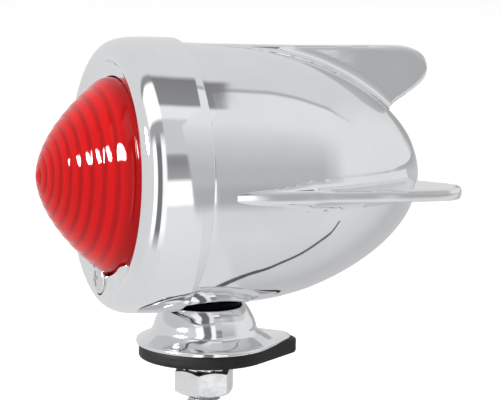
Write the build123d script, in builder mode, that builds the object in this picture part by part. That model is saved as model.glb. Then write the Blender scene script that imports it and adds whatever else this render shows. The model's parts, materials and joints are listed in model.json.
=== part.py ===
"""Bullet tail light with three cast fins, a domed ring lens, a chrome bezel and a swivelling stud base.

Millimetres. The origin is on the stud axis at the underside of the base gasket, which is the face
that lies on the mudguard. +Z runs up the stud, the lens faces -Y, and +X is the lamp's left side.
The lamp head is built in its own frame: "y" below is the distance behind the lens shoulder along
the lamp axis, and "r" is the distance from that axis.
"""

import math
import os

from build123d import *

os.makedirs("parts", exist_ok=True)

# ---- where the lamp head sits on its base ---------------------------------------------------
head_tilt = 2.0          # degrees, the lens looks slightly upwards
head_y = -25.7           # lens shoulder, ahead of the stud axis
head_z = 45.5            # lamp axis height at the lens shoulder

# ---- housing --------------------------------------------------------------------------------
body_front = 16.8
body_front_r = 31.75
body_length = 79.2
wall = 2.2
spigot_front = 9.0
spigot_r = 30.55
spigot_bore_r = 28.6
ledge_y = 12.8
fin_thick = 2.9
fin_outer_r = 31.4
fin_rear = 80.8
boss_r = 8.4
boss_bottom = 5.6
boss_top = 17.0

# ---- bezel and lens -------------------------------------------------------------------------
bezel_rear = 16.0
bezel_r = 33.0
bezel_bore_r = 30.9
dish_floor = 1.75
dish_thick = 1.4
crest_r = 28.5
lens_r = 23.4
lens_apex = -17.2
lens_flange_r = 26.9
lens_hole_r = 23.7
screw_z = -25.0          # bezel screw, straight below the lamp axis
screw_seat = 0.85        # raised pad the screw's washer lies on
screw_head_r = 3.7
screw_r = 2.0
scallop_r = 4.4          # bite out of the lens rim that clears the screw head
screw_end = 16.0

# ---- bulb and socket ------------------------------------------------------------------------
bulb_centre = 8.5
bulb_r = 12.5
cap_r = 7.6
cap_front = 19.8
cap_rear = 38.0
pin_ys = (29.0, 32.0)    # the two bayonet pins sit at different depths
pin_r = 1.0
bulb_push = 2.5
shell_bore_r = 7.68
shell_r = 8.4
shell_front = 22.2
shell_rear = 51.0
reflector_floor = 22.8
sheet = 0.6

# ---- stud and base --------------------------------------------------------------------------
stud_r = 4.0
stud_bore_r = 2.5
stud_end = -25.0
stud_head_r = 7.0
stud_head_z = 18.3
stud_head_top = 22.0
gasket_thick = 3.3
gasket_r = 15.95
gasket_lobe_r = 4.8
gasket_lobe_y = 18.5
flange_r = 16.65
flange_lobe_r = 4.6
flange_lobe_y = 17.1
flange_top = 4.4
cup_top = 13.0
nut_flats = 13.0
nut_top = -2.8
nut_height = 6.3
lock_washer_thick = 0.7

# ---- the lamp head's own planes -------------------------------------------------------------
tilt_cos = math.cos(math.radians(head_tilt))
tilt_sin = math.sin(math.radians(head_tilt))
head_origin = Vector(0, head_y, head_z)
rearwards = Vector(0, tilt_cos, -tilt_sin)
upwards = Vector(0, tilt_sin, tilt_cos)
LAMP_AXIS = Axis(head_origin, rearwards)
PROFILE = Plane(origin=head_origin, x_dir=rearwards, z_dir=(1, 0, 0))
SIDE = Plane(origin=head_origin, x_dir=rearwards, z_dir=-upwards)
FACE = Plane(origin=head_origin, x_dir=(1, 0, 0), z_dir=-rearwards)


def across(y):
    """Plane square to the lamp axis, y behind the lens shoulder, facing forwards."""
    return FACE.offset(-y)


# ============================ lamp head ======================================================

body_outline = [
    (body_front, body_front_r),
    (30, 31.2),
    (40, 30.2),
    (48, 28.4),
    (56, 25.4),
    (64, 21.15),
    (72, 14.9),
    (77, 7.9),
    (body_length, 0),
]
hollow_outline = [
    (22, 29.3),
    (40, 27.9),
    (56, 22.9),
    (64, 18.5),
    (72, 11.6),
    (body_length - wall, 0),
]

with BuildPart() as housing:
    with BuildSketch(PROFILE):
        with BuildLine():
            Spline(body_outline, tangents=[(1, -0.03), (0, -1)])
            Polyline((body_length, 0), (spigot_front, 0), (spigot_front, spigot_r),
                     (body_front, spigot_r), (body_front, body_front_r))
        make_face()
    revolve(axis=LAMP_AXIS)
    # three integral fins: one on top and one on each side
    with BuildSketch(PROFILE) as fin_shape:
        with BuildLine():
            Polyline((24, 20), (24, fin_outer_r), (73.5, fin_outer_r))
            Spline((73.5, fin_outer_r), (78.8, 29.4), (fin_rear, 25.6), (78.6, 22.0), (70.6, 16.6),
                   tangents=[(1, 0), (-1, -0.35)])
            Polyline((70.6, 16.6), (62, 12), (24, 20))
        make_face()
    extrude(amount=fin_thick / 2, both=True)
    with BuildSketch(SIDE):
        add(fin_shape.sketch_local)
        add(fin_shape.sketch_local.mirror(Plane.XZ))
    extrude(amount=fin_thick / 2, both=True)
    with BuildSketch(PROFILE):
        with BuildLine():
            Spline(hollow_outline, tangents=[(1, 0), (0, -1)])
            Polyline((body_length - wall, 0), (spigot_front, 0), (spigot_front, spigot_bore_r),
                     (ledge_y, spigot_bore_r), (ledge_y, 27.3), (17.5, 27.3), (22, 29.3))
        make_face()
    revolve(axis=LAMP_AXIS, mode=Mode.SUBTRACT)
    # groove for the reflector's snap ring
    with BuildSketch(PROFILE):
        with Locations((ledge_y - sheet - 0.55, spigot_bore_r - 0.1)):
            Circle(0.55)
    revolve(axis=LAMP_AXIS, mode=Mode.SUBTRACT)
    # swivel boss that stands in the base cup, with a flat seat for the stud head inside
    with BuildSketch(Plane.XY.offset(boss_bottom)):
        Circle(boss_r)
    extrude(amount=boss_top - boss_bottom)
    with BuildSketch(Plane.XY.offset(boss_bottom)):
        Circle(stud_r + 0.05)
    extrude(amount=boss_top - boss_bottom, mode=Mode.SUBTRACT)
    # tapped lug for the bezel screw
    with BuildSketch(across(spigot_front)):
        with Locations((0, -25.4)):
            RectangleRounded(9, 8.2, 1.2)
    extrude(amount=-8.5)
    with BuildSketch(across(spigot_front)):
        with Locations((0, screw_z)):
            Circle(screw_r + 0.05)
    extrude(amount=-8.5, mode=Mode.SUBTRACT)
housing.part.label = "housing"
export_step(housing.part, "parts/housing.step")

with BuildPart() as seam_gasket:
    with BuildSketch(PROFILE):
        with Locations((body_front - 0.25, 31.1)):
            Rectangle(0.5, 1.1)
    revolve(axis=LAMP_AXIS)
seam_gasket.part.label = "seam_gasket"
export_step(seam_gasket.part, "parts/seam_gasket.step")

with BuildPart() as bezel:
    with BuildSketch(PROFILE):
        with BuildLine():
            Polyline((dish_floor + dish_thick, lens_hole_r), (dish_floor, lens_hole_r), (dish_floor, 25.0))
            Spline((dish_floor, 25.0), (1.2, 26.9), (-0.1, crest_r), (0.0, 30.2), (1.0, 31.5),
                   (4.0, 32.75), (10.0, bezel_r), (14.6, 32.9), tangents=[(0, 1), (1, -0.06)])
            RadiusArc((14.6, 32.9), (bezel_rear, 31.7), -1.4)
            Polyline((bezel_rear, 31.7), (bezel_rear, bezel_bore_r), (4.4, bezel_bore_r),
                     (dish_floor + dish_thick, 29.6), (dish_floor + dish_thick, lens_hole_r))
        make_face()
    revolve(axis=LAMP_AXIS)
    # pad that reaches into the lens rim's scallop to carry the screw
    with BuildSketch(across(dish_floor + dish_thick)):
        with Locations((0, screw_z)):
            Circle(scallop_r - 0.3)
    extrude(amount=dish_floor + dish_thick - screw_seat)
    with BuildSketch(across(screw_seat)):
        with Locations((0, screw_z)):
            Circle(screw_head_r + 0.35)
    extrude(amount=4, mode=Mode.SUBTRACT)
    with BuildSketch(across(dish_floor + dish_thick)):
        with Locations((0, screw_z)):
            Circle(screw_r + 0.3)
    extrude(amount=4, mode=Mode.SUBTRACT)
bezel.part.label = "bezel"
export_step(bezel.part, "parts/bezel.step")

# Ring lens: each (y, r) is the valley between two raised rings of the dome.
ring_valleys = [
    (-16.35, 2.3),
    (-15.6, 4.6),
    (-14.6, 6.95),
    (-13.35, 9.3),
    (-11.8, 11.65),
    (-9.95, 14.0),
    (-7.9, 16.3),
    (-5.7, 18.5),
    (-3.25, 20.7),
]
ring_rise = 0.25

with BuildPart() as lens:
    with BuildSketch(PROFILE):
        with BuildLine():
            Spline((lens_apex, 0), ring_valleys[0], tangents=[(0, 1), (1, 1.6)])
            for inner, outer in zip(ring_valleys, ring_valleys[1:]):
                run = math.dist(inner, outer)
                out_y = -(outer[1] - inner[1]) / run
                out_r = (outer[0] - inner[0]) / run
                crown_y = (inner[0] + outer[0]) / 2 + out_y * ring_rise
                crown_r = (inner[1] + outer[1]) / 2 + out_r * ring_rise
                ThreePointArc(inner, (crown_y, crown_r), outer)
            Spline(ring_valleys[-1], (-1.5, 22.35), (0.9, lens_r), tangents=[(0.75, 0.9), (1, 0)])
            Polyline((0.9, lens_r), (3.95, lens_r), (3.95, lens_flange_r), (5.75, lens_flange_r),
                     (5.75, 21.2))
            Line((5.75, 21.2), (1.6, 21.2))
            Spline((1.6, 21.2), (-4.9, 15.6), (-11.2, 8.4), (-14.8, 0),
                   tangents=[(-1, -0.8), (0, -1)])
            Line((-14.8, 0), (lens_apex, 0))
        make_face()
    revolve(axis=LAMP_AXIS)
    with BuildSketch(across(8)):
        with Locations((0, screw_z)):
            Circle(scallop_r)
    extrude(amount=14, mode=Mode.SUBTRACT)
lens.part.label = "lens"
export_step(lens.part, "parts/lens.step")

with BuildPart() as lens_gasket:
    with BuildSketch(across(dish_floor + dish_thick)):
        Circle(27.2)
        Circle(23.7, mode=Mode.SUBTRACT)
        with Locations((0, screw_z)):
            Circle(scallop_r, mode=Mode.SUBTRACT)
    extrude(amount=-0.8)
lens_gasket.part.label = "lens_gasket"
export_step(lens_gasket.part, "parts/lens_gasket.step")

with BuildPart() as lens_retainer:
    with BuildSketch(across(5.75)):
        Circle(bezel_bore_r)
        Circle(22.2, mode=Mode.SUBTRACT)
        with Locations((0, screw_z)):
            Circle(screw_r + 0.5, mode=Mode.SUBTRACT)
    extrude(amount=-0.8)
lens_retainer.part.label = "lens_retainer"
export_step(lens_retainer.part, "parts/lens_retainer.step")

with BuildPart() as screw_washer:
    with BuildSketch(across(screw_seat - 0.1)):
        with Locations((0, screw_z)):
            Circle(screw_head_r - 0.3)
            Circle(screw_r + 0.1, mode=Mode.SUBTRACT)
    extrude(amount=0.4)
screw_washer.part.label = "screw_washer"
export_step(screw_washer.part, "parts/screw_washer.step")

with BuildPart() as bezel_screw:
    with BuildSketch(across(screw_seat - 0.6)):
        with Locations((0, screw_z)):
            Circle(screw_head_r)
    extrude(amount=1.55)
    fillet(bezel_screw.faces().sort_by(Axis(head_origin, -rearwards))[-1].edges(), 0.9)
    with BuildSketch(across(screw_seat - 0.6)):
        with Locations((0, screw_z)):
            Circle(screw_r)
    extrude(amount=-(screw_end - screw_seat + 0.6))
    chamfer(bezel_screw.faces().sort_by(Axis(head_origin, rearwards))[-1].edges(), 0.5)
    with BuildSketch(across(screw_seat - 1.1)):
        with Locations((0, screw_z)):
            Rectangle(4.4, 0.9)
            Rectangle(0.9, 4.4)
    extrude(amount=2, mode=Mode.SUBTRACT)
bezel_screw.part.label = "bezel_screw"
export_step(bezel_screw.part, "parts/bezel_screw.step")

with BuildPart() as reflector:
    with BuildSketch(PROFILE):
        with BuildLine():
            Polyline((reflector_floor, 12.8), (reflector_floor, shell_r + 0.3),
                     (reflector_floor + sheet, shell_r + 0.3), (reflector_floor + sheet, 13.1))
            Spline((reflector_floor + sheet, 13.1), (18.6, 20.6), (ledge_y, 26.6),
                   tangents=[(-0.4, 1), (-1, 0.7)])
            Polyline((ledge_y, 26.6), (ledge_y, 28.4), (ledge_y - sheet, 28.4), (ledge_y - sheet, 26.3))
            Spline((ledge_y - sheet, 26.3), (18.0, 20.3), (reflector_floor, 12.8),
                   tangents=[(1, -0.7), (0.4, -1)])
        make_face()
    revolve(axis=LAMP_AXIS)
    with BuildSketch(across(20)):
        with Locations((0, -25.8)):
            Rectangle(10.4, 10.4)
    extrude(amount=12, mode=Mode.SUBTRACT)
    rivet_spots = PolarLocations(10.8, 3, start_angle=90)
    with BuildSketch(across(reflector_floor)):
        with rivet_spots:
            Circle(0.9)
    extrude(amount=-sheet, mode=Mode.SUBTRACT)
reflector.part.label = "reflector"
export_step(reflector.part, "parts/reflector.step")

with BuildPart() as reflector_snap_ring:
    with BuildSketch(PROFILE):
        with Locations((ledge_y - sheet - 0.5, spigot_bore_r - 0.2)):
            Circle(0.48)
    revolve(axis=LAMP_AXIS)
    with BuildSketch(across(20)):
        with Locations((0, -28)):
            Rectangle(13, 8)
    extrude(amount=12, mode=Mode.SUBTRACT)
reflector_snap_ring.part.label = "reflector_snap_ring"
export_step(reflector_snap_ring.part, "parts/reflector_snap_ring.step")

# ============================ bulb socket ====================================================

slot_w = 2 * pin_r + 0.6
turn_angle = 24.0        # degrees the bulb turns to lock
with BuildPart() as socket_shell:
    with BuildSketch(PROFILE):
        with BuildLine():
            Polyline((shell_front, shell_bore_r), (shell_front, shell_r),
                     (reflector_floor + sheet, shell_r),
                     (reflector_floor + sheet, 12.9), (reflector_floor + sheet + 0.7, 12.9),
                     (reflector_floor + sheet + 0.7, shell_r), (shell_rear, shell_r), (shell_rear, 3.2),
                     (shell_rear - 0.7, 3.2), (shell_rear - 0.7, shell_bore_r), (shell_front, shell_bore_r))
        make_face()
    revolve(axis=LAMP_AXIS)
    for side, pin_y in ((1, pin_ys[0]), (-1, pin_ys[1])):
        home_front = pin_y - pin_r - 0.3
        deep = pin_y + bulb_push + pin_r + 0.3
        with BuildSketch(SIDE):
            with Locations(((home_front + deep) / 2, side * 8.0)):
                Rectangle(deep - home_front, 2.4)
        extrude(amount=slot_w / 2, both=True, mode=Mode.SUBTRACT)
        with BuildSketch(SIDE):
            with Locations((deep - slot_w / 2, side * 8.0)):
                Rectangle(slot_w, 2.4)
        revolve(axis=LAMP_AXIS, revolution_arc=turn_angle, mode=Mode.SUBTRACT)
        entry_dir = Vector(1, 0, 0).rotate(Axis((0, 0, 0), rearwards), turn_angle)
        with BuildSketch(Plane(origin=head_origin, x_dir=rearwards, z_dir=rearwards.cross(entry_dir))):
            with Locations(((shell_front + deep) / 2, side * 8.0)):
                Rectangle(deep - shell_front, 2.4)
        extrude(amount=slot_w / 2, both=True, mode=Mode.SUBTRACT)
    with BuildSketch(across(reflector_floor + sheet)):
        with rivet_spots:
            Circle(0.9)
    extrude(amount=-0.7, mode=Mode.SUBTRACT)
socket_shell.part.label = "socket_shell"
export_step(socket_shell.part, "parts/socket_shell.step")

with BuildPart() as socket_rivets:
    with BuildSketch(across(reflector_floor)):
        with rivet_spots:
            Circle(0.9)
    extrude(amount=-(sheet + 0.7))
    with BuildSketch(across(reflector_floor)):
        with rivet_spots:
            Circle(1.5)
    extrude(amount=0.5)
    with BuildSketch(across(reflector_floor + sheet + 0.7)):
        with rivet_spots:
            Circle(1.4)
    extrude(amount=-0.5)
socket_rivets.part.label = "socket_rivets"
export_step(socket_rivets.part, "parts/socket_rivets.step")

carrier_front = 40.5
carrier_thick = 2.4
contact_x = 3.1
contact_spots = [(-contact_x, 0), (contact_x, 0)]
with BuildPart() as contact_carrier:
    with BuildSketch(across(carrier_front)):
        Circle(7.3)
        with Locations(contact_spots):
            Circle(0.8, mode=Mode.SUBTRACT)
    extrude(amount=-carrier_thick)
    chamfer(contact_carrier.faces().sort_by(LAMP_AXIS)[-1].edges().sort_by(SortBy.LENGTH)[-1], 0.4)
contact_carrier.part.label = "contact_carrier"
export_step(contact_carrier.part, "parts/contact_carrier.step")

with BuildPart() as contact_buttons:
    with BuildSketch(across(carrier_front)):
        with Locations(contact_spots):
            Circle(1.7)
    extrude(amount=1.0)
    with BuildSketch(across(carrier_front)):
        with Locations(contact_spots):
            Circle(0.8)
    extrude(amount=-carrier_thick)
contact_buttons.part.label = "contact_buttons"
export_step(contact_buttons.part, "parts/contact_buttons.step")

spring_front = carrier_front + carrier_thick + 0.45
spring_rear = shell_rear - 0.7 - 0.45
spring_r = 5.9
spring_wire = 0.4
spring_turns = 4
with BuildPart() as contact_spring:
    with BuildLine() as coil:
        Helix(pitch=(spring_rear - spring_front) / spring_turns, height=spring_rear - spring_front,
              radius=spring_r, center=head_origin + rearwards * spring_front, direction=rearwards)
    with BuildSketch(Plane(origin=coil.line @ 0, z_dir=coil.line % 0)):
        Circle(spring_wire)
    sweep(is_frenet=True)
contact_spring.part.label = "contact_spring"
export_step(contact_spring.part, "parts/contact_spring.step")

# ============================ bulb ===========================================================

glass = 0.7
neck_angle = math.radians(49.5)
neck = (math.cos(neck_angle), math.sin(neck_angle))
inner_r = bulb_r - glass
with BuildPart() as bulb_glass:
    with BuildSketch(PROFILE):
        with BuildLine():
            CenterArc((bulb_centre, 0), bulb_r, 180, -130.5)
            Spline((bulb_centre + bulb_r * neck[0], bulb_r * neck[1]), (18.9, 7.5), (24.0, 6.9),
                   tangents=[(neck[1], -neck[0]), (1, 0)])
            Line((24.0, 6.9), (24.0, 6.9 - glass))
            Spline((24.0, 6.9 - glass), (18.5, 6.85), (bulb_centre + inner_r * neck[0], inner_r * neck[1]),
                   tangents=[(-1, 0), (-neck[1], neck[0])])
            CenterArc((bulb_centre, 0), inner_r, 180, -130.5)
            Line((bulb_centre - inner_r, 0), (bulb_centre - bulb_r, 0))
        make_face()
    revolve(axis=LAMP_AXIS)
bulb_glass.part.label = "bulb_glass"
export_step(bulb_glass.part, "parts/bulb_glass.step")

with BuildPart() as bulb_stem:
    with BuildSketch(PROFILE):
        Polygon((11.5, 0), (12.0, 1.6), (19.5, 1.9), (24.0, 6.1), (24.8, 6.1), (21.4, 1.2), (21.4, 0),
                align=None)
    revolve(axis=LAMP_AXIS)
bulb_stem.part.label = "bulb_stem"
export_step(bulb_stem.part, "parts/bulb_stem.step")

filament_ys = (5.0, 8.6)
filament_half = 2.8
with BuildPart() as filament_supports:
    for fil_y in filament_ys:
        for side in (-1, 1):
            with BuildSketch(across(12.4)):
                with Locations((side * 1.1, fil_y - 6.8)):
                    Circle(0.25)
            extrude(amount=12.4 - fil_y)
            with BuildSketch(across(fil_y)):
                with Locations((side * 1.95, fil_y - 6.8)):
                    Rectangle(2.2, 0.5)
            extrude(amount=-0.5)
filament_supports.part.label = "filament_supports"
export_step(filament_supports.part, "parts/filament_supports.step")

with BuildPart() as filaments:
    for fil_y in filament_ys:
        with BuildSketch(Plane.YZ.offset(-filament_half)):
            with Locations((head_y + tilt_cos * (fil_y - 0.5) + tilt_sin * (fil_y - 6.8),
                            head_z - tilt_sin * (fil_y - 0.5) + tilt_cos * (fil_y - 6.8))):
                Circle(0.45)
        extrude(amount=2 * filament_half)
filaments.part.label = "filaments"
export_step(filaments.part, "parts/filaments.step")

with BuildPart() as bulb_base:
    with BuildSketch(PROFILE):
        Polygon((cap_front, 7.2), (cap_front, cap_r), (cap_rear - 0.6, cap_r), (cap_rear, cap_r - 0.6),
                (cap_rear, 6.6), (cap_rear - 0.5, 6.6), (cap_rear - 0.5, 7.2), align=None)
    revolve(axis=LAMP_AXIS)
bulb_base.part.label = "bulb_base"
export_step(bulb_base.part, "parts/bulb_base.step")

with BuildPart() as bulb_insulator:
    with BuildSketch(across(36.4)):
        Circle(7.2)
    extrude(amount=-1.1)
    with BuildSketch(across(37.5)):
        Circle(6.6)
    extrude(amount=-0.7)
bulb_insulator.part.label = "bulb_insulator"
export_step(bulb_insulator.part, "parts/bulb_insulator.step")

with BuildPart() as bulb_contacts:
    with BuildSketch(across(38.2)):
        with Locations(contact_spots):
            Circle(1.6)
    extrude(amount=-1.0)
    fillet(bulb_contacts.faces().sort_by(LAMP_AXIS)[-2:].edges(), 0.6)
bulb_contacts.part.label = "bulb_contacts"
export_step(bulb_contacts.part, "parts/bulb_contacts.step")

with BuildPart() as bulb_pins:
    for side, pin_y in ((1, pin_ys[0]), (-1, pin_ys[1])):
        with BuildSketch(Plane.YZ.offset(side * cap_r)):
            with Locations((head_y + tilt_cos * pin_y, head_z - tilt_sin * pin_y)):
                Circle(pin_r)
        extrude(amount=side * 1.4)
bulb_pins.part.label = "bulb_pins"
export_step(bulb_pins.part, "parts/bulb_pins.step")

# ============================ stud, base and fixings =========================================

with BuildPart() as stud:
    with BuildSketch(Plane.XY.offset(stud_end)):
        Circle(stud_r)
    extrude(amount=stud_head_z - stud_end)
    chamfer(stud.faces().sort_by(Axis.Z)[0].edges(), 0.6)
    with BuildSketch(Plane.XY.offset(stud_head_z)):
        Circle(stud_head_r)
    extrude(amount=stud_head_top - stud_head_z)
    chamfer(stud.faces().sort_by(Axis.Z)[-1].edges(), 0.6)
    with BuildSketch(Plane.XY.offset(stud_end)):
        Circle(stud_bore_r)
    extrude(amount=stud_head_top - stud_end, mode=Mode.SUBTRACT)
stud.part.label = "stud"
export_step(stud.part, "parts/stud.step")

with BuildPart() as stud_grommet:
    with BuildSketch(Plane.XY.offset(stud_end)):
        Circle(stud_bore_r)
    extrude(amount=4.0)
    with BuildSketch(Plane.XY.offset(stud_end - 0.9)):
        Circle(3.3)
    extrude(amount=0.9)
    fillet(stud_grommet.faces().sort_by(Axis.Z)[0].edges(), 0.4)
    with BuildSketch(Plane.XY.offset(stud_end - 0.9)):
        Circle(1.65)
    extrude(amount=4.9, mode=Mode.SUBTRACT)
stud_grommet.part.label = "stud_grommet"
export_step(stud_grommet.part, "parts/stud_grommet.step")

with BuildPart() as wave_washer:
    with BuildSketch(Plane.XY.offset(17.3)):
        Circle(7.4)
        Circle(stud_r + 0.3, mode=Mode.SUBTRACT)
    extrude(amount=1.0)
wave_washer.part.label = "wave_washer"
export_step(wave_washer.part, "parts/wave_washer.step")

with BuildPart() as swivel_shim:
    with BuildSketch(Plane.XY.offset(4.5)):
        Circle(8.2)
        Circle(stud_r + 0.3, mode=Mode.SUBTRACT)
    extrude(amount=0.8)
swivel_shim.part.label = "swivel_shim"
export_step(swivel_shim.part, "parts/swivel_shim.step")


with BuildPart() as base_cup:
    with BuildSketch(Plane.XY.offset(gasket_thick)):
        Circle(flange_r)
        with Locations((0, flange_lobe_y)):
            Circle(flange_lobe_r)
        make_hull()
    extrude(amount=flange_top - gasket_thick)
    fillet(base_cup.faces().sort_by(Axis.Z)[-1].edges(), 0.6)
    with BuildSketch(Plane.YZ):
        with BuildLine():
            Polyline((0, 3.6), (0, 4.5), (11.2, 4.5), (11.2, 8.2), (8.75, cup_top), (9.75, cup_top),
                     (12.05, 9.2))
            Spline((12.05, 9.2), (12.45, 8.2), (12.6, 7.1), tangents=[(0.55, -1), (0.05, -1)])
            RadiusArc((12.6, 7.1), (15.3, flange_top), -2.9)
            Polyline((15.3, flange_top), (15.3, 3.6), (0, 3.6))
        make_face()
    revolve(axis=Axis.Z)
    with BuildSketch(Plane.XY):
        Circle(stud_r + 0.3)
    extrude(amount=8, mode=Mode.SUBTRACT)
base_cup.part.label = "base_cup"
export_step(base_cup.part, "parts/base_cup.step")

with BuildPart() as base_gasket:
    with BuildSketch(Plane.XY):
        Circle(gasket_r)
        with Locations((0, gasket_lobe_y)):
            Circle(gasket_lobe_r)
        make_hull()
    extrude(amount=gasket_thick)
    fillet(base_gasket.faces().sort_by(Axis.Z)[0].edges(), 0.5)
    with BuildSketch(Plane.XY):
        Circle(stud_r + 0.3)
    extrude(amount=gasket_thick, mode=Mode.SUBTRACT)
base_gasket.part.label = "base_gasket"
export_step(base_gasket.part, "parts/base_gasket.step")

# the washer waits where a 2 mm mudguard sheet would hold it, its teeth bent alternately up and down
with BuildPart() as lock_washer:
    with BuildSketch(Plane.XY.offset(nut_top)):
        Circle(6.4)
        Circle(stud_r + 0.25, mode=Mode.SUBTRACT)
        with PolarLocations(6.4, 12):
            Rectangle(1.8, 1.0, mode=Mode.SUBTRACT)
    extrude(amount=lock_washer_thick)
lock_washer.part.label = "lock_washer"
export_step(lock_washer.part, "parts/lock_washer.step")

with BuildPart() as hex_nut:
    with BuildSketch(Plane.XY.offset(nut_top - nut_height)):
        RegularPolygon(nut_flats / 2, 6, major_radius=False, rotation=30)
    extrude(amount=nut_height)
    # the corners of both faces are turned off at 30 degrees
    with BuildSketch(Plane.XZ):
        with BuildLine():
            Polyline((0, nut_top), (6.2, nut_top), (7.7, nut_top - 0.85),
                     (7.7, nut_top - nut_height + 0.85),
                     (6.2, nut_top - nut_height), (0, nut_top - nut_height), (0, nut_top))
        make_face()
    revolve(axis=Axis.Z, mode=Mode.INTERSECT)
    with BuildSketch(Plane.XY.offset(nut_top)):
        Circle(stud_r + 0.05)
    extrude(amount=-nut_height, mode=Mode.SUBTRACT)
hex_nut.part.label = "hex_nut"
export_step(hex_nut.part, "parts/hex_nut.step")

# ============================ leads held inside the lamp =====================================

lead_r = 0.65
lead_start = carrier_front + carrier_thick
for name, lead_side in (("tail_lead", -1), ("brake_lead", 1)):
    x_in_stud = lead_side * 0.95
    x_at_contact = lead_side * contact_x
    back = lambda y, z: (head_y + tilt_cos * y + tilt_sin * z, head_z - tilt_sin * y + tilt_cos * z)
    contact_y, contact_z = back(lead_start, 0)
    loop_y, loop_z = back(63, 0)
    with BuildPart() as lead:
        with BuildLine() as route:
            FilletPolyline((x_at_contact * 0.55, contact_y, contact_z),
                           (x_at_contact * 0.55, loop_y, loop_z),
                           (x_in_stud, loop_y - 1, loop_z - 11), (x_in_stud, 18, 30),
                           (x_in_stud, 0, 27), (x_in_stud, 0, stud_end + 4.2), radius=4.2)
        with BuildSketch(Plane(origin=route.line @ 0, z_dir=route.line % 0)):
            Circle(lead_r)
        sweep()
    lead.part.label = name
    export_step(lead.part, f"parts/{name}.step")
    route_length = sum(edge.length for edge in route.edges())
    print(name, "volume over section x length", lead.part.volume / (math.pi * lead_r ** 2 * route_length))
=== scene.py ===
"""Bullet tail light with cast fins: chrome housing and bezel, red ring lens, bulb, stud base and fixings."""
import json
import math

import bmesh
import bpy
from mathutils import Matrix, Vector

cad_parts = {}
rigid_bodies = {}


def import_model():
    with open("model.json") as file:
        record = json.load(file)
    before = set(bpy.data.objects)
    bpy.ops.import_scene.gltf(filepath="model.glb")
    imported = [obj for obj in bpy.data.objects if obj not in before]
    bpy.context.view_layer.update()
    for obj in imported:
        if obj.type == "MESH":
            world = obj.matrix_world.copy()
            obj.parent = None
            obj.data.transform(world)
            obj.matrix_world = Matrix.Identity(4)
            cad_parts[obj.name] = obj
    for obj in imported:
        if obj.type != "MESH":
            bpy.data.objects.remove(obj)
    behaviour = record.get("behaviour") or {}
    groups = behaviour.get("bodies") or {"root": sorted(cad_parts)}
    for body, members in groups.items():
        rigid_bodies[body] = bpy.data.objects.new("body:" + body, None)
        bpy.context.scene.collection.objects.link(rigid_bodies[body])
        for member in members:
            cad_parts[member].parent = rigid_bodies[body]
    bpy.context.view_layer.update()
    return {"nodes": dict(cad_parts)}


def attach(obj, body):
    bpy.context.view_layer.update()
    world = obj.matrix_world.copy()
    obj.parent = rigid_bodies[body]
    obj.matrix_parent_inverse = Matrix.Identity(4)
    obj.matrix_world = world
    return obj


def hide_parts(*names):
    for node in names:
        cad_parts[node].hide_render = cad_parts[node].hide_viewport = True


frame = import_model()
MM = 0.001

# ---- the lamp head's frame: x across, y back along the lamp axis, z up, from the lens shoulder ----
HEAD_TILT, HEAD_AHEAD, HEAD_UP = math.radians(2.0), 25.7, 45.5
HEAD = Matrix.Translation((0, -HEAD_AHEAD * MM, HEAD_UP * MM)) @ Matrix.Rotation(-HEAD_TILT, 4, "X")
BASE = Matrix.Identity(4)

# ---- sizes in millimetres; a name ending in _R is a radius, and along the head's axis sizes count from its frame ----
BODY_FRONT, BODY_LENGTH, WALL = 16.8, 79.2, 2.2
FIN_THICK, FIN_R, FIN_REAR = 2.9, 31.4, 80.8
LENS_R, DISH_FLOOR, CREST_R = 23.4, 1.75, 28.5
SCREW_DROP, SCREW_HEAD_R, SCALLOP_R = 25.0, 3.7, 4.4
SCREW_SEAT, SCREW_HOLE_R, SCREW_PITCH = 0.85, 2.3, 0.7
STUD_R, STUD_END, STUD_BORE_R, THREAD_PITCH = 4.0, -25.0, 2.5, 1.25
GASKET_THICK, FLANGE_TOP, CUP_TOP, STUD_HOLE_R = 3.3, 4.4, 13.0, 4.3
NUT_FLATS, NUT_TOP, NUT_HEIGHT = 13.0, -2.8, 6.3
FLANGE = (16.65, 17.1, 4.6)      # big radius, lobe distance, lobe radius
GASKET = (15.95, 18.5, 4.8)


# ============================ outlines ============================

def smooth_run(points, steps=8, start=None, end=None):
    """Points along a smooth curve through the given ones."""
    pts = [Vector(p) for p in points]
    first = pts[0] - Vector(start) if start else 2 * pts[0] - pts[1]
    last = pts[-1] + Vector(end) if end else 2 * pts[-1] - pts[-2]
    pts = [first] + pts + [last]
    out = []
    for i in range(1, len(pts) - 2):
        a, b, c, d = pts[i - 1:i + 3]
        gap = max((c - b).length, 1e-9)
        ta = (c - a) / max((c - a).length, 1e-9) * gap
        tb = (d - b) / max((d - b).length, 1e-9) * gap
        for k in range(steps):
            t = k / steps
            out.append((2 * t ** 3 - 3 * t ** 2 + 1) * b + (t ** 3 - 2 * t ** 2 + t) * ta
                       + (3 * t ** 2 - 2 * t ** 3) * c + (t ** 3 - t ** 2) * tb)
    out.append(pts[-2])
    return [tuple(p) for p in out]


def rounded(corners, closed=True, steps=5):
    """An outline of straight runs: each corner is (along, out, fillet radius)."""
    count = len(corners)
    out = []
    for i, (x, y, radius) in enumerate(corners):
        here = Vector((x, y))
        if radius == 0 or (not closed and i in (0, count - 1)):
            out.append((x, y))
            continue
        before = Vector(corners[i - 1][:2]) - here
        after = Vector(corners[(i + 1) % count][:2]) - here
        half = before.angle(after) / 2
        reach = min(radius / math.tan(half), before.length * 0.49, after.length * 0.49)
        a = here + before.normalized() * reach
        b = here + after.normalized() * reach
        for k in range(steps + 1):
            t = k / steps
            out.append(tuple((1 - t) ** 2 * a + 2 * t * (1 - t) * here + t ** 2 * b))
    return out


def bite(angle, drop, radius):
    """How far out the lens rim may reach at this angle from straight down, clear of the screw's circle."""
    across = drop * math.sin(angle)
    if abs(across) >= radius or math.cos(angle) <= 0:
        return None
    return drop * math.cos(angle) - math.sqrt(radius ** 2 - across ** 2)


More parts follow.
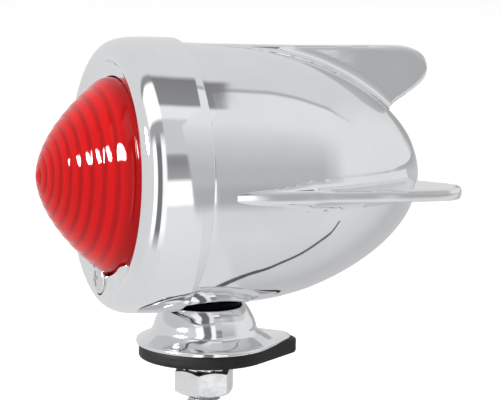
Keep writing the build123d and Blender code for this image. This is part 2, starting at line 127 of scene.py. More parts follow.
def teardrop(big_r, lobe_y, lobe_r, height):
    """Loop round a big circle and a small one behind it, joined by their tangents."""
    lean = math.acos((big_r - lobe_r) / lobe_y)
    loop = []
    for k in range(97):
        a = lean + (2 * math.pi - 2 * lean) * k / 96
        loop.append(Vector((big_r * math.sin(a), big_r * math.cos(a), height)))
    lobe = [Vector((lobe_r * math.sin(a), lobe_y + lobe_r * math.cos(a), height))
            for a in (-lean + 2 * lean * k / 20 for k in range(21))]
    for k in range(1, 12):
        loop.append(loop[96].lerp(lobe[0], k / 12))
    loop += lobe
    for k in range(1, 12):
        loop.append(lobe[-1].lerp(loop[0], k / 12))
    return loop


def ring_like(shape, radius, height):
    """A circle whose points lie on the same rays as the points of a teardrop."""
    return [p * (radius / math.hypot(p.x, p.y)) + Vector((0, 0, height)) for p in teardrop(*shape, 0.0)]


def flat_point(radius, angle, height):
    """A point about the stud's axis."""
    return Vector((radius * math.sin(angle), radius * math.cos(angle), height))


def flat_circle(radius, height, count):
    return [flat_point(radius, 2 * math.pi * k / count, height) for k in range(count)]


def even_by_length(line, count):
    """Points at equal distances along a line."""
    length = [0.0]
    for a, b in zip(line, line[1:]):
        length.append(length[-1] + math.dist(a, b))
    out = []
    for k in range(count + 1):
        goal = k / count * length[-1]
        i = max(j for j in range(len(length)) if length[j] <= goal + 1e-9)
        i = min(i, len(line) - 2)
        t = (goal - length[i]) / max(length[i + 1] - length[i], 1e-9)
        out.append(Vector(line[i]).lerp(Vector(line[i + 1]), t))
    return out


def even_by_step(line, count):
    """Points at equal steps of a line's own points."""
    out = []
    for k in range(count + 1):
        place = k / count * (len(line) - 1)
        i = min(int(place), len(line) - 2)
        out.append(Vector(line[i]).lerp(Vector(line[i + 1]), place - i))
    return out


# ============================ mesh makers ============================

def piece(name, mesh, material, body, replaces=(), sharp=32):
    """Finishes a mesh given in millimetres of the row frame as a piece on a body."""
    for vert in mesh.verts:
        vert.co *= MM
    bmesh.ops.remove_doubles(mesh, verts=mesh.verts, dist=1e-7)
    bmesh.ops.recalc_face_normals(mesh, faces=mesh.faces)
    data = bpy.data.meshes.new(name)
    mesh.to_mesh(data)
    mesh.free()
    data.shade_smooth()
    data.set_sharp_from_angle(angle=math.radians(sharp))
    obj = bpy.data.objects.new(name, data)
    bpy.context.scene.collection.objects.link(obj)
    obj.data.materials.append(material)
    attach(obj, body)
    if replaces:
        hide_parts(*replaces)
    return obj


def loft(mesh, loops, ring=True, around=True):
    """Skins a row of equal loops; ring joins the last loop to the first, around closes each loop."""
    rows = [[mesh.verts.new(p) for p in loop] for loop in loops]
    count = len(rows[0])
    pairs = list(zip(rows, rows[1:] + rows[:1])) if ring else list(zip(rows, rows[1:]))
    for a, b in pairs:
        for i in range(count if around else count - 1):
            j = (i + 1) % count
            if a[i].co == a[j].co and b[i].co == b[j].co:
                continue
            mesh.faces.new((a[i], a[j], b[j], b[i]))
    return rows


def turned(mesh, outline, where, steps=160, limit=None):
    """Lathes an outline of (along, radius), in millimetres, about the lamp axis (HEAD) or the stud (BASE)."""
    loops = []
    for along, radius in outline:
        loop = []
        for k in range(steps):
            angle = 2 * math.pi * k / steps
            reach = max(radius, 1e-4)
            if limit:
                reach = limit(reach, angle)
            if where is HEAD:
                spot = Vector((reach * math.sin(angle), along, -reach * math.cos(angle)))
                loop.append(HEAD @ (spot * MM) / MM)
            else:
                loop.append(flat_point(reach, angle, along))
        loops.append(loop)
    return loft(mesh, loops)


def turned_piece(name, outline, where, material, body, replaces=(), steps=160, limit=None, sharp=32):
    mesh = bmesh.new()
    turned(mesh, outline, where, steps, limit)
    return piece(name, mesh, material, body, replaces, sharp)


def cut(obj, tool):
    """Cuts a hole in a piece and drops the cutter."""
    step = obj.modifiers.new("cut", "BOOLEAN")
    step.object = tool
    step.solver = "EXACT"
    for other in bpy.context.view_layer.objects:
        other.select_set(False)
    bpy.context.view_layer.objects.active = obj
    bpy.ops.object.modifier_apply(modifier=step.name)
    bpy.data.objects.remove(tool)


def head_spot(x, y, z):
    """A point of the lamp head in the row frame, in millimetres."""
    return HEAD @ (Vector((x, y, z)) * MM) / MM


def cutter(name, near, far):
    """A closed tool between two loops, for cut()."""
    mesh = bmesh.new()
    rows = loft(mesh, [near, far], ring=False)
    mesh.faces.new(rows[0])
    mesh.faces.new(rows[1][::-1])
    for vert in mesh.verts:
        vert.co *= MM
    bmesh.ops.recalc_face_normals(mesh, faces=mesh.faces)
    data = bpy.data.meshes.new(name)
    mesh.to_mesh(data)
    mesh.free()
    obj = bpy.data.objects.new(name, data)
    bpy.context.scene.collection.objects.link(obj)
    return obj


# ============================ shader groups ============================

def new_group(name, inputs, outputs):
    group = bpy.data.node_groups.new(name, "ShaderNodeTree")
    for label, kind, value in inputs:
        sock = group.interface.new_socket(label, in_out="INPUT", socket_type=kind)
        sock.default_value = value
    for label, kind in outputs:
        group.interface.new_socket(label, in_out="OUTPUT", socket_type=kind)
    return group, group.nodes.new("NodeGroupInput"), group.nodes.new("NodeGroupOutput")


def noise(tree, vector, scale, detail=4.0, rough=0.55):
    node = tree.nodes.new("ShaderNodeTexNoise")
    node.inputs["Scale"].default_value = scale
    node.inputs["Detail"].default_value = detail
    node.inputs["Roughness"].default_value = rough
    tree.links.new(vector, node.inputs["Vector"])
    return node.outputs["Fac"]


def spread(tree, value, low, high, out_low, out_high):
    """Maps a value from one range to another; the ends may be numbers or sockets."""
    node = tree.nodes.new("ShaderNodeMapRange")
    node.inputs["From Min"].default_value = low
    node.inputs["From Max"].default_value = high
    tree.links.new(value, node.inputs["Value"])
    for label, end in (("To Min", out_low), ("To Max", out_high)):
        if isinstance(end, (int, float)):
            node.inputs[label].default_value = end
        else:
            tree.links.new(end, node.inputs[label])
    return node.outputs["Result"]


def scaled(tree, vector, factor):
    node = tree.nodes.new("ShaderNodeVectorMath")
    node.operation = "SCALE"
    tree.links.new(vector, node.inputs[0])
    tree.links.new(factor, node.inputs["Scale"])
    return node.outputs["Vector"]


def maths(tree, kind, a, b=0.0):
    node = tree.nodes.new("ShaderNodeMath")
    node.operation = kind
    for sock, value in zip(node.inputs, (a, b)):
        if isinstance(value, (int, float)):
            sock.default_value = value
        else:
            tree.links.new(value, sock)
    return node.outputs[0]


def blend_colours(tree, mask, a, b):
    node = tree.nodes.new("ShaderNodeMix")
    node.data_type = "RGBA"
    tree.links.new(mask, node.inputs["Factor"])
    for label, colour in (("A", a), ("B", b)):
        sock = [s for s in node.inputs if s.name == label and s.type == "RGBA"][0]
        if isinstance(colour, tuple):
            sock.default_value = colour
        else:
            tree.links.new(colour, sock)
    return [s for s in node.outputs if s.type == "RGBA"][0]


def build_plating_group():
    """Plated metal: wiping haze in the gloss, a faint casting ripple and hairline marks."""
    group, gin, gout = new_group(
        "plated_surface",
        [("Smooth", "NodeSocketFloat", 0.03), ("Hazy", "NodeSocketFloat", 0.12), ("Scale", "NodeSocketFloat", 1.0),
         ("Tint", "NodeSocketColor", (0.8, 0.8, 0.8, 1)), ("Shade", "NodeSocketColor", (0.7, 0.7, 0.7, 1))],
        [("Colour", "NodeSocketColor"), ("Roughness", "NodeSocketFloat"), ("Height", "NodeSocketFloat")])
    coords = group.nodes.new("ShaderNodeTexCoord").outputs["Object"]
    spot = scaled(group, coords, gin.outputs["Scale"])
    haze = noise(group, spot, 60, 5, 0.6)
    fine = noise(group, spot, 900, 3, 0.6)
    stretch = group.nodes.new("ShaderNodeMapping")
    stretch.inputs["Scale"].default_value = (1.0, 0.06, 1.0)
    stretch.inputs["Rotation"].default_value = (0.3, 0.5, 0.8)
    group.links.new(spot, stretch.inputs["Vector"])
    hairs = spread(group, noise(group, stretch.outputs["Vector"], 2600, 2, 0.5), 0.62, 0.72, 0.0, 1.0)
    mask = spread(group, maths(group, "ADD", maths(group, "MULTIPLY", haze, 0.8), maths(group, "MULTIPLY", fine, 0.2)),
                  0.38, 0.68, 0.0, 1.0)
    rough = spread(group, mask, 0.0, 1.0, gin.outputs["Smooth"], gin.outputs["Hazy"])
    group.links.new(maths(group, "ADD", rough, maths(group, "MULTIPLY", hairs, 0.02)), gout.inputs["Roughness"])
    group.links.new(blend_colours(group, mask, gin.outputs["Tint"], gin.outputs["Shade"]), gout.inputs["Colour"])
    ripple = noise(group, spot, 22, 2, 0.4)
    height = maths(group, "ADD", maths(group, "MULTIPLY", ripple, 1.0), maths(group, "MULTIPLY", hairs, -0.004))
    group.links.new(maths(group, "ADD", height, maths(group, "MULTIPLY", fine, 0.003)), gout.inputs["Height"])
    return group


def build_grain_group():
    """Moulded rubber, fibre and plastic: grain, dusty patches and a mottled colour."""
    group, gin, gout = new_group(
        "moulded_surface",
        [("Scale", "NodeSocketFloat", 1.0), ("Dark", "NodeSocketColor", (0.01, 0.01, 0.01, 1)),
         ("Light", "NodeSocketColor", (0.05, 0.05, 0.05, 1)), ("Gloss", "NodeSocketFloat", 0.45),
         ("Matt", "NodeSocketFloat", 0.75)],
        [("Colour", "NodeSocketColor"), ("Roughness", "NodeSocketFloat"), ("Height", "NodeSocketFloat")])
    coords = group.nodes.new("ShaderNodeTexCoord").outputs["Object"]
    spot = scaled(group, coords, gin.outputs["Scale"])
    patches = spread(group, noise(group, spot, 160, 6, 0.65), 0.35, 0.7, 0.0, 1.0)
    grain = noise(group, spot, 3200, 3, 0.7)
    group.links.new(blend_colours(group, patches, gin.outputs["Dark"], gin.outputs["Light"]), gout.inputs["Colour"])
    group.links.new(spread(group, maths(group, "MULTIPLY", patches, grain), 0.0, 0.6, gin.outputs["Gloss"],
                           gin.outputs["Matt"]), gout.inputs["Roughness"])
    group.links.new(maths(group, "ADD", maths(group, "MULTIPLY", grain, 0.4), patches), gout.inputs["Height"])
    return group


def build_turning_group():
    """Fine rings left by a lathe or a press, about the stud's axis."""
    group, gin, gout = new_group(
        "tool_marks",
        [("Scale", "NodeSocketFloat", 1.0), ("Bright", "NodeSocketColor", (0.8, 0.8, 0.8, 1)),
         ("Dull", "NodeSocketColor", (0.5, 0.5, 0.5, 1)), ("Smooth", "NodeSocketFloat", 0.2),
         ("Rough", "NodeSocketFloat", 0.45)],
        [("Colour", "NodeSocketColor"), ("Roughness", "NodeSocketFloat"), ("Height", "NodeSocketFloat")])
    coords = group.nodes.new("ShaderNodeTexCoord").outputs["Object"]
    split = group.nodes.new("ShaderNodeSeparateXYZ")
    group.links.new(coords, split.inputs[0])
    along = group.nodes.new("ShaderNodeCombineXYZ")
    group.links.new(maths(group, "MULTIPLY", split.outputs["X"], 0.12), along.inputs["X"])
    group.links.new(maths(group, "MULTIPLY", split.outputs["Y"], 0.12), along.inputs["Y"])
    group.links.new(split.outputs["Z"], along.inputs["Z"])
    rings = noise(group, scaled(group, along.outputs[0], gin.outputs["Scale"]), 4200, 3, 0.6)
    blotch = spread(group, noise(group, coords, 220, 5, 0.6), 0.35, 0.7, 0.0, 1.0)
    worn = maths(group, "ADD", maths(group, "MULTIPLY", rings, 0.5), maths(group, "MULTIPLY", blotch, 0.5))
    mask = spread(group, worn, 0.2, 0.8, 0.0, 1.0)
    rough = spread(group, mask, 0.0, 1.0, gin.outputs["Smooth"], gin.outputs["Rough"])
    group.links.new(blend_colours(group, mask, gin.outputs["Bright"], gin.outputs["Dull"]), gout.inputs["Colour"])
    group.links.new(rough, gout.inputs["Roughness"])
    group.links.new(rings, gout.inputs["Height"])
    return group


def build_ribbed_group():
    """Dyed clear plastic; painted shade darkens the colour in the valleys between the ribs, and the colour also grows
    deeper towards the rim.
    """
    group, gin, gout = new_group(
        "ribbed_plastic",
        [("Pale", "NodeSocketColor", (0.7, 0.01, 0.01, 1)), ("Deep", "NodeSocketColor", (0.3, 0.0, 0.0, 1)),
         ("Pitch", "NodeSocketFloat", 0.00232)],
        [("Colour", "NodeSocketColor"), ("Roughness", "NodeSocketFloat"), ("Height", "NodeSocketFloat")])
    coords = group.nodes.new("ShaderNodeTexCoord").outputs["Object"]
    split = group.nodes.new("ShaderNodeSeparateXYZ")
    group.links.new(coords, split.inputs[0])
    behind = maths(group, "ADD", split.outputs["Y"], HEAD_AHEAD * MM)
    above = maths(group, "ADD", split.outputs["Z"], -HEAD_UP * MM)
    rise = maths(group, "ADD", maths(group, "MULTIPLY", behind, math.sin(HEAD_TILT)),
                 maths(group, "MULTIPLY", above, math.cos(HEAD_TILT)))
    reach = maths(group, "SQRT", maths(group, "ADD", maths(group, "MULTIPLY", rise, rise),
                                       maths(group, "MULTIPLY", split.outputs["X"], split.outputs["X"])))
    turns = maths(group, "MULTIPLY", maths(group, "DIVIDE", reach, gin.outputs["Pitch"]), 2 * math.pi)
    # painted shade: the colour darkens in each valley between the ribs
    valley_shade = spread(group, maths(group, "COSINE", turns), -0.4, 1.0, 0.0, 0.6)
    rim = spread(group, reach, 0.0214, 0.0232, 0.0, 0.8)
    cloud = spread(group, noise(group, coords, 260, 4, 0.6), 0.3, 0.8, 0.0, 0.2)
    mask = maths(group, "MAXIMUM", maths(group, "MAXIMUM", valley_shade, rim), cloud)
    group.links.new(blend_colours(group, mask, gin.outputs["Pale"], gin.outputs["Deep"]), gout.inputs["Colour"])
    group.links.new(spread(group, cloud, 0.0, 0.2, 0.03, 0.07), gout.inputs["Roughness"])
    group.links.new(noise(group, coords, 700, 3, 0.6), gout.inputs["Height"])
    return group


RIBBED = build_ribbed_group()
PLATED = build_plating_group()
MOULDED = build_grain_group()
TOOLED = build_turning_group()


def finish(name, group, values, metallic=0.0, bump=0.2, depth=0.00002, **constants):
    """A Principled material fed by one of the shared surface groups."""
    material = bpy.data.materials.new(name)
    material.use_nodes = True
    tree = material.node_tree
    shader = tree.nodes["Principled BSDF"]
    shader.inputs["Metallic"].default_value = metallic
    for label, value in constants.items():
        shader.inputs[label.replace("_", " ")].default_value = value
    surface = tree.nodes.new("ShaderNodeGroup")
    surface.node_tree = group
    for label, value in values.items():
        surface.inputs[label].default_value = value
    raised = tree.nodes.new("ShaderNodeBump")
    raised.inputs["Strength"].default_value = bump
    raised.inputs["Distance"].default_value = depth
    tree.links.new(surface.outputs["Colour"], shader.inputs["Base Color"])
    tree.links.new(surface.outputs["Roughness"], shader.inputs["Roughness"])
    tree.links.new(surface.outputs["Height"], raised.inputs["Height"])
    tree.links.new(raised.outputs["Normal"], shader.inputs["Normal"])
    return material


def grey(level, lift=0.0):
    return (level, level + lift * 0.5, level + lift, 1.0)


def plated(name, tint, shade, smooth=0.03, hazy=0.1, bump=0.15, depth=0.00002, scale=1.0):
    return finish(name, PLATED, {"Smooth": smooth, "Hazy": hazy, "Tint": tint, "Shade": shade, "Scale": scale},
                  metallic=1.0, bump=bump, depth=depth)


def moulded(name, dark, light, gloss=0.4, matt=0.7, scale=1.0, bump=0.35, **constants):
    return finish(name, MOULDED, {"Dark": dark, "Light": light, "Gloss": gloss, "Matt": matt, "Scale": scale},
                  bump=bump, depth=0.00005, **constants)


def tooled(name, bright, dull, smooth=0.2, rough=0.4):
    return finish(name, TOOLED, {"Bright": bright, "Dull": dull, "Smooth": smooth, "Rough": rough},
                  metallic=1.0, depth=0.00003)


cast_chrome = plated("cast_chrome", grey(0.80, 0.015), grey(0.76, 0.015), 0.035, 0.085, 0.10)
bezel_chrome = plated("bezel_chrome", grey(0.82, 0.015), grey(0.79, 0.015), 0.02, 0.055, 0.06)
cup_chrome = plated("cup_chrome", grey(0.80, 0.015), grey(0.74, 0.015), 0.04, 0.12, 0.12)
inside_casting = plated("inside_casting", grey(0.42), grey(0.30), 0.35, 0.6, 0.5, 0.0001)
# near-black plating as painted shade: it stands in for the shadow inside the cup round the swivel boss
painted_shade_black = plated("painted_shade_black", grey(0.004), grey(0.008), 0.5, 0.7, 0.5, 0.0001)
screw_nickel = tooled("screw_nickel", grey(0.80), grey(0.62), 0.08, 0.22)
zinc_plate = tooled("zinc_plate", grey(0.86, 0.01), grey(0.68, 0.01), 0.16, 0.34)
stud_zinc = tooled("stud_zinc", grey(0.62, 0.01), grey(0.40, 0.01), 0.22, 0.42)
spring_steel = tooled("spring_steel", grey(0.50), grey(0.33), 0.22, 0.4)
socket_zinc = tooled("socket_zinc", (0.74, 0.73, 0.70, 1), (0.55, 0.54, 0.50, 1), 0.2, 0.4)
reflector_bright = plated("reflector_bright", grey(0.90), grey(0.84), 0.08, 0.2, 0.2)
plain_brass = tooled("plain_brass", (0.86, 0.62, 0.28, 1), (0.58, 0.38, 0.15, 1), 0.18, 0.38)
dull_solder = plated("dull_solder", grey(0.55), grey(0.40), 0.3, 0.5, 0.4, 0.0001, 6.0)
drawn_wire = tooled("drawn_wire", grey(0.45), grey(0.28), 0.25, 0.4)
gasket_rubber = moulded("gasket_rubber", grey(0.004), grey(0.014), 0.5, 0.75, Specular_IOR_Level=0.3)
seam_rubber = moulded("seam_rubber", grey(0.02), grey(0.05), 0.5, 0.8)
brown_fibre = moulded("brown_fibre", (0.16, 0.07, 0.03, 1), (0.30, 0.15, 0.07, 1), 0.5, 0.8, 1.5)
red_fibre = moulded("red_fibre", (0.22, 0.03, 0.02, 1), (0.36, 0.07, 0.05, 1), 0.5, 0.8, 1.5)
black_glass = moulded("black_glass", grey(0.008), grey(0.02), 0.08, 0.2, 1.0, 0.1)
lead_red = moulded("lead_red", (0.38, 0.01, 0.01, 1), (0.52, 0.03, 0.02, 1), 0.35, 0.55, 1.0, 0.15)
lead_black = moulded("lead_black", grey(0.01), grey(0.03), 0.35, 0.55, 1.0, 0.15)
# the Deep colour also serves as painted shade in the lens's rib valleys
red_lens = finish("red_lens", RIBBED, {"Pale": (0.84, 0.001, 0.003, 1), "Deep": (0.30, 0.0005, 0.001, 1)}, bump=0.03,
                  Transmission_Weight=0.38, IOR=1.46, Specular_IOR_Level=0.13)
clear_glass = moulded("clear_glass", (0.93, 0.95, 0.95, 1), (0.98, 0.99, 0.99, 1), 0.0, 0.03, 0.4, 0.02,
                      Transmission_Weight=1.0, IOR=1.48)

# ============================ housing ============================

body_curve = smooth_run(
    [(BODY_FRONT + 0.5, 31.72), (24, 31.5), (30, 31.2), (36, 30.75), (42, 29.85), (48, 28.4), (52, 27.05), (56, 25.4),
     (60, 23.45), (64, 21.15), (68, 18.4), (72, 14.9), (75, 11.4), (77, 7.9), (78.5, 4.2), (BODY_LENGTH, 0.0)],
    steps=5, start=(1, -0.03), end=(0, -2))
hollow_curve = smooth_run(
    [(BODY_LENGTH - WALL, 0), (76, 5.2), (72, 11.6), (64, 18.5), (56, 22.9), (40, 27.9), (22, 29.3)],
    steps=4, start=(0, 1))
housing_outline = (
    [(9.2, 30.55), (BODY_FRONT, 30.55), (BODY_FRONT, 31.64), (BODY_FRONT + 0.08, 31.72)] + body_curve
    + hollow_curve + [(17.5, 27.3), (12.8, 27.3), (12.8, 28.6), (9.2, 28.6), (9.0, 28.8), (9.0, 30.35)])


def body_radius(y):
    """The casting's outer radius y behind the lens shoulder."""
    for (y0, r0), (y1, r1) in zip(body_curve, body_curve[1:]):
        if y0 <= y <= y1:
            return r0 + (r1 - r0) * (y - y0) / max(y1 - y0, 1e-9)
    return body_curve[0][1] if y < BODY_FRONT + 1 else 0.0


def add_fin(mesh, turn):
    """One cast fin: a plate with a rounded edge that flares into the body with a fillet."""
    edge_r, half, stations = 0.9, FIN_THICK / 2, 110
    biggest_fillet, sunk = 2.4, 0.35
    root = smooth_run([(20.5, 30.4), (34, 29.9), (48, 27.5), (56, 24.5), (64, 20.2), (70.0, 15.6)], steps=12)
    rim = smooth_run([(20.5, 31.40), (23.5, 31.60), (29, 31.60), (40, FIN_R + 0.05), (56, FIN_R), (70, FIN_R),
                      (76.0, 30.9), (79.6, 28.9), (FIN_REAR, 25.6), (79.7, 22.9), (76.0, 19.9), (73.2, 18.0),
                      (70.9, 16.0)], steps=12)
    spacing = [0, 0.03, 0.06, 0.1, 0.15, 0.21, 0.28, 0.36, 0.45, 0.55, 0.66, 0.76, 0.84, 0.9, 0.95, 0.98, 1]
    rim_points = even_by_length(rim, stations)
    root_points = even_by_step(root, stations)
    sides = []
    for sign in (1, -1):
        rows = []
        for a, b in zip(root_points, rim_points):
            row = []
            low, high = 0.0, 1.0
            for _ in range(24):
                middle = (low + high) / 2
                q = a.lerp(b, middle)
                low, high = (middle, high) if q.y < body_radius(q.x) else (low, middle)
            foot = max(0.0, low - sunk / max((b - a).length, 0.4))
            fillet_r = min(biggest_fillet, max(0.02, 1.4 * (b.y - body_radius(b.x))))
            for share in spacing:
                p = a.lerp(b, foot + (1 - foot) * share)
                height = p.y - body_radius(p.x) if p.x < BODY_LENGTH else p.y
                thick = half
                if height < fillet_r:
                    h = max(0.0, fillet_r - max(height, 0.0))
                    thick += fillet_r - math.sqrt(max(fillet_r ** 2 - h ** 2, 0.0))
                clearance = min(math.dist(p, q) for q in rim_points)
                if clearance < edge_r:
                    thick -= edge_r - math.sqrt(edge_r ** 2 - (edge_r - clearance) ** 2)
                x, z = (turn * p.y, sign * thick) if turn else (sign * thick, p.y)
                row.append(head_spot(x, p.x, z))
            rows.append(row)
        sides.append(rows)
        loft(mesh, rows, ring=False, around=False)
    # the rim strip between both sides
    loft(mesh, [[row[-1] for row in rows] for rows in sides], ring=False, around=False)


def build_housing():
    mesh = bmesh.new()
    turned(mesh, housing_outline, HEAD, steps=256)
    for turn in (0, 1, -1):
        add_fin(mesh, turn)
    lug = rounded([(-4.5, -29.3, 0), (-4.5, -21.3, 1.2), (4.5, -21.3, 1.2), (4.5, -29.3, 0)])
    near = [head_spot(x, 9.0, z) for x, z in lug]
    far = [head_spot(x, 17.5, z) for x, z in lug]
    rows = loft(mesh, [near, far], ring=False)
    mesh.faces.new(rows[0])
    mesh.faces.new(rows[1][::-1])
    return piece("chrome_housing", mesh, cast_chrome, "head", ["housing"], sharp=40)


chrome_housing = build_housing()
boss_outline = rounded([(5.6, 4.05, 0.2), (5.6, 8.4, 0.6), (17.0, 8.4, 0.4), (17.0, 4.05, 0.2)])
# the swivel boss is near black as painted shade for the dark gap inside the cup's open top
boss = turned_piece("swivel_boss", boss_outline, BASE, painted_shade_black, "head", steps=96)

# ============================ bezel and its seal ============================

bezel_outside = smooth_run(
    [(DISH_FLOOR, 25.4), (1.35, 26.6), (0.35, 27.6), (-0.1, CREST_R), (-0.12, 29.5), (0.25, 30.5), (1.0, 31.45),
     (2.2, 32.2), (4.0, 32.72), (7.0, 32.97), (10.0, 33.0), (14.0, 32.92)],
    steps=7, start=(0, 1), end=(2, -0.05))
bezel_back = rounded([(14.0, 32.92, 0), (16.5, 32.85, 0.25), (16.5, 30.9, 0.2), (4.4, 30.9, 1.0), (3.15, 29.6, 0.6)],
                     closed=False)
bezel_outline = bezel_outside + bezel_back[1:] + [(3.15, 23.8), (3.0, 23.7), (DISH_FLOOR + 0.1, 23.7),
                                                  (DISH_FLOOR, 23.8)]


def bezel_limit(radius, angle):
    """The dish floor reaches inwards round the screw."""
    reach = bite(angle, SCREW_DROP, SCALLOP_R - 0.3)
    if radius < 24.0 and reach is not None:
        return min(radius, reach)
    return radius


bezel_ring = turned_piece("bezel_ring", bezel_outline, HEAD, bezel_chrome, "front", ["bezel"], steps=288,
                          limit=bezel_limit, sharp=38)


def screw_circle(radius, y, count=48):
    """A circle about the bezel screw's axis, y behind the lens shoulder."""
    turns = [2 * math.pi * k / count for k in range(count)]
    return [head_spot(radius * math.sin(a), y, -SCREW_DROP - radius * math.cos(a)) for a in turns]


def cut_for_screw(obj, hole_name, seat_name, seat_r):
    """The screw's clearance hole and the round seat for its head."""
    front, back = -4, 5
    cut(obj, cutter(hole_name, screw_circle(SCREW_HOLE_R, front), screw_circle(SCREW_HOLE_R, back)))
    cut(obj, cutter(seat_name, screw_circle(seat_r, front), screw_circle(seat_r, SCREW_SEAT)))


cut_for_screw(bezel_ring, "screw_hole", "screw_seat", SCALLOP_R - 0.34)


def build_screw_pad():
    """Raised seat for the bezel screw, standing on the dish floor."""
    mesh = bmesh.new()
    loops = []
    for y, inner, outer, half in ((3.1, 23.9, 28.2, 40.0), (0.4, 23.9, 28.2, 36.0), (0.05, 24.05, 28.3, 34.0),
                                  (-0.06, 24.3, 28.35, 32.0)):
        loop = []
        for radius, way in ((inner, 1), (outer, -1)):
            for k in range(25):
                angle = math.radians(half) * way * (k / 12 - 1)
                loop.append(head_spot(radius * math.sin(angle), y, -radius * math.cos(angle)))
        loops.append(loop)
    rows = loft(mesh, loops, ring=False)
    mesh.faces.new(rows[0])
    mesh.faces.new(rows[-1][::-1])
    pad = piece("screw_pad", mesh, bezel_chrome, "front", sharp=40)
    cut_for_screw(pad, "pad_hole", "pad_seat", SCALLOP_R - 0.5)
    return pad


screw_pad = build_screw_pad()

seam_outline = rounded([(16.6, 30.6, 0.03), (16.6, 31.2, 0.05), (16.8, 31.2, 0.05), (16.8, 30.6, 0)])
seam_seal = turned_piece("seam_seal", seam_outline, HEAD, seam_rubber, "head", ["seam_gasket"], steps=192)

# ============================ lens ============================

ring_valleys = [(-16.35, 2.3), (-15.6, 4.6), (-14.6, 6.95), (-13.35, 9.3), (-11.8, 11.65), (-9.95, 14.0), (-7.9, 16.3),
                (-5.7, 18.5), (-3.25, 20.7)]
RING_RISE = 0.18


def lens_face():
    """The dome's outline with a rounded rib between each pair of valleys."""
    out = smooth_run([(-17.0, 0), (-16.8, 1.2), ring_valleys[0]], steps=5, start=(0, 1))
    for inner, outer in zip(ring_valleys, ring_valleys[1:]):
        a, b = Vector(inner), Vector(outer)
        run = b - a
        normal = Vector((-run.y, run.x)).normalized()
        for k in range(1, 11):
            t = k / 10
            rise = RING_RISE * math.sin(math.pi * t) ** 0.85
            out.append(tuple(a + run * t + normal * rise))
    out += smooth_run([ring_valleys[-1], (-1.6, 22.25), (-0.35, 23.05), (0.9, LENS_R)], steps=5, end=(1, 0))[1:]
    return out


def lens_back():
    """The inner face follows the ribs with a soft ripple."""
    out = [(1.6, 21.2)]
    inner = [(y + 2.3, max(r - 1.1, 0.0)) for y, r in reversed(ring_valleys)]
    for a, b in zip(inner, inner[1:]):
        for k in range(6):
            t = k / 6
            out.append((a[0] + (b[0] - a[0]) * t + 0.2 * math.sin(math.pi * t) ** 2, a[1] + (b[1] - a[1]) * t))
    out += [inner[-1], (-14.3, 0.6), (-14.4, 0.0)]
    return out


lens_flange = [(3.8, LENS_R), (3.95, LENS_R + 0.15), (3.95, 26.8), (4.1, 26.9), (5.6, 26.9), (5.75, 26.75),
               (5.75, 21.3)]
lens_outline = lens_face() + lens_flange + lens_back()


def lens_limit(radius, angle):
    """The rim is scalloped round the screw's head."""
    reach = bite(angle, SCREW_DROP, SCALLOP_R)
    if reach is not None and radius > reach:
        return reach
    return radius


ring_lens = turned_piece("ring_lens", lens_outline, HEAD, red_lens, "front", ["lens"], steps=288,
                         limit=lens_limit, sharp=60)


# ============================ bezel screw ============================

def cross_screw():
    """Domed head and a threaded shank; the cross recess is cut into the head after this."""
    mesh = bmesh.new()
    top = SCREW_SEAT - 2.07
    head = smooth_run([(top, 0.0), (top + 0.02, 1.6), (top + 0.2, 2.7), (top + 0.62, 3.45), (top + 1.04, SCREW_HEAD_R)],
                      steps=5, start=(0, 1))
    outline = head + [(top + 1.47, SCREW_HEAD_R), (top + 1.57, SCREW_HEAD_R - 0.15), (top + 1.57, 2.0)]
    thread_length, thread_steps, thread_core = 14.2, 168, 1.78
    for k in range(thread_steps):
        y = SCREW_SEAT + 0.55 + k * thread_length / thread_steps
        outline.append((y, thread_core + 0.22 * abs(math.sin(math.pi * y / SCREW_PITCH))))
    outline += [(16.0, 1.4), (16.0, 0.0)]
    loops = [screw_circle(max(radius, 1e-4), along) for along, radius in outline]
    loft(mesh, loops, ring=False)
    return piece("cross_screw", mesh, screw_nickel, "screw", ["bezel_screw"], sharp=35)


bezel_cross_screw = cross_screw()
arm, slot_half = 2.1, 0.45
cross = [(-slot_half, arm), (slot_half, arm), (slot_half, slot_half), (arm, slot_half), (arm, -slot_half),
         (slot_half, -slot_half), (slot_half, -arm), (-slot_half, -arm), (-slot_half, -slot_half), (-arm, -slot_half),
         (-arm, slot_half), (-slot_half, slot_half)]
# the recess stands twenty degrees off upright
cross = [(x * 0.94 - z * 0.34, x * 0.34 + z * 0.94) for x, z in cross]
cross_near, cross_far = [[head_spot(x * size, SCREW_SEAT - depth, z * size - SCREW_DROP) for x, z in cross]
                         for size, depth in ((1.05, 3.2), (0.7, 0.95))]
cut(bezel_cross_screw, cutter("cross_recess", cross_near, cross_far))

# ============================ base cup and gasket ============================


def build_cup():
    mesh = bmesh.new()
    outside = smooth_run([(CUP_TOP - 0.25, 9.9), (12.0, 10.5), (11.0, 11.08), (10.1, 11.6), (9.2, 12.0), (8.2, 12.35),
                          (7.2, 12.6), (6.3, 13.1), (5.4, 14.2), (4.75, 15.2), (FLANGE_TOP + 0.02, 15.9)], steps=4)
    loops = []
    for z, r in [(4.5, 8.0), (4.5, 11.0), (4.9, 11.2), (8.2, 11.2), (11.0, 10.0), (CUP_TOP - 0.25, 8.95),
                 (CUP_TOP - 0.03, 9.08), (CUP_TOP, 9.3), (CUP_TOP - 0.03, 9.65)] + outside:
        loops.append(ring_like(FLANGE, r, z))
    for inset, z in ((0.75, FLANGE_TOP), (0.35, FLANGE_TOP - 0.05), (0.08, FLANGE_TOP - 0.28),
                     (0.0, FLANGE_TOP - 0.6), (0.06, GASKET_THICK + 0.08), (0.3, GASKET_THICK)):
        loops.append(teardrop(FLANGE[0] - inset, FLANGE[1], FLANGE[2] - inset, z))
    for z in (GASKET_THICK, 4.5):
        loops.append(ring_like(FLANGE, STUD_HOLE_R, z))
    loft(mesh, loops, ring=True)
    return piece("chrome_cup", mesh, cup_chrome, "base", ["base_cup"], sharp=40)


chrome_cup = build_cup()


